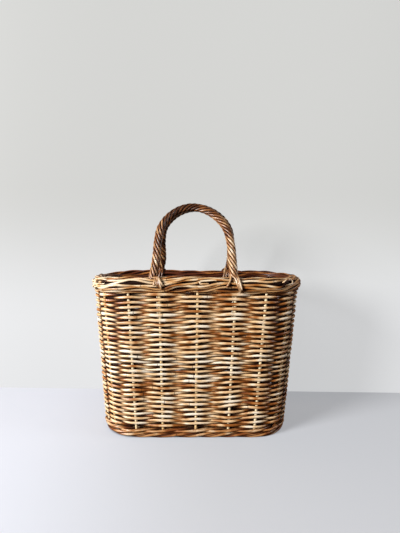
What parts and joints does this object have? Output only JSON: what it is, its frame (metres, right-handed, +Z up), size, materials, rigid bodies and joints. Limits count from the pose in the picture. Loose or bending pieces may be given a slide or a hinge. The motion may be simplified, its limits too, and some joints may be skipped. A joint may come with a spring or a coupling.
{
  "type": "rattan tote bag",
  "caption": "Open woven rattan shopping tote with a tapered rounded body, rolled border and two roped bow handles.",
  "frame": {"origin": "middle of the footprint, on the surface the bag stands on", "axes": "+Z up, -Y to the front, +X to the right along the bag's length seen from the front"},
  "size_m": [0.342, 0.1588, 0.372],
  "materials": {
    "weaver": "satin",
    "stake": "satin",
    "border_rod": "satin",
    "foot_rod": "satin",
    "handle_rope": "satin",
    "handle_core": "satin"
  },
  "bodies": {
    "root": {"foot_ring": "foot_rod", "cross_stake_1": "stake", "cross_stake_2": "stake", "cross_stake_3": "stake", "cross_stake_4": "stake", "cross_stake_5": "stake", "long_stake_1": "stake", "long_stake_2": "stake", "long_stake_3": "stake", "long_stake_4": "stake", "long_stake_5": "stake", "base_filler_front_1": "weaver", "base_filler_front_2": "weaver", "base_filler_back_1": "weaver", "base_filler_back_2": "weaver", "foot_wale_a": "foot_rod", "foot_wale_b": "foot_rod", "siding_a_1": "weaver", "siding_a_2": "weaver", "siding_a_3": "weaver", "siding_a_4": "weaver", "siding_b_1": "weaver", "siding_b_2": "weaver", "siding_b_3": "weaver", "siding_b_4": "weaver", "border_strand_1": "border_rod", "border_strand_2": "border_rod", "border_strand_3": "border_rod", "border_strand_4": "border_rod", "handle_front_core": "handle_core", "handle_front_rope": "handle_rope", "tail_front_left_1": "handle_rope", "tail_front_left_2": "handle_rope", "tail_front_right_1": "handle_rope", "tail_front_right_2": "handle_rope", "handle_back_core": "handle_core", "handle_back_rope": "handle_rope", "tail_back_left_1": "handle_rope", "tail_back_left_2": "handle_rope", "tail_back_right_1": "handle_rope", "tail_back_right_2": "handle_rope"}
  },
  "joints": []
}
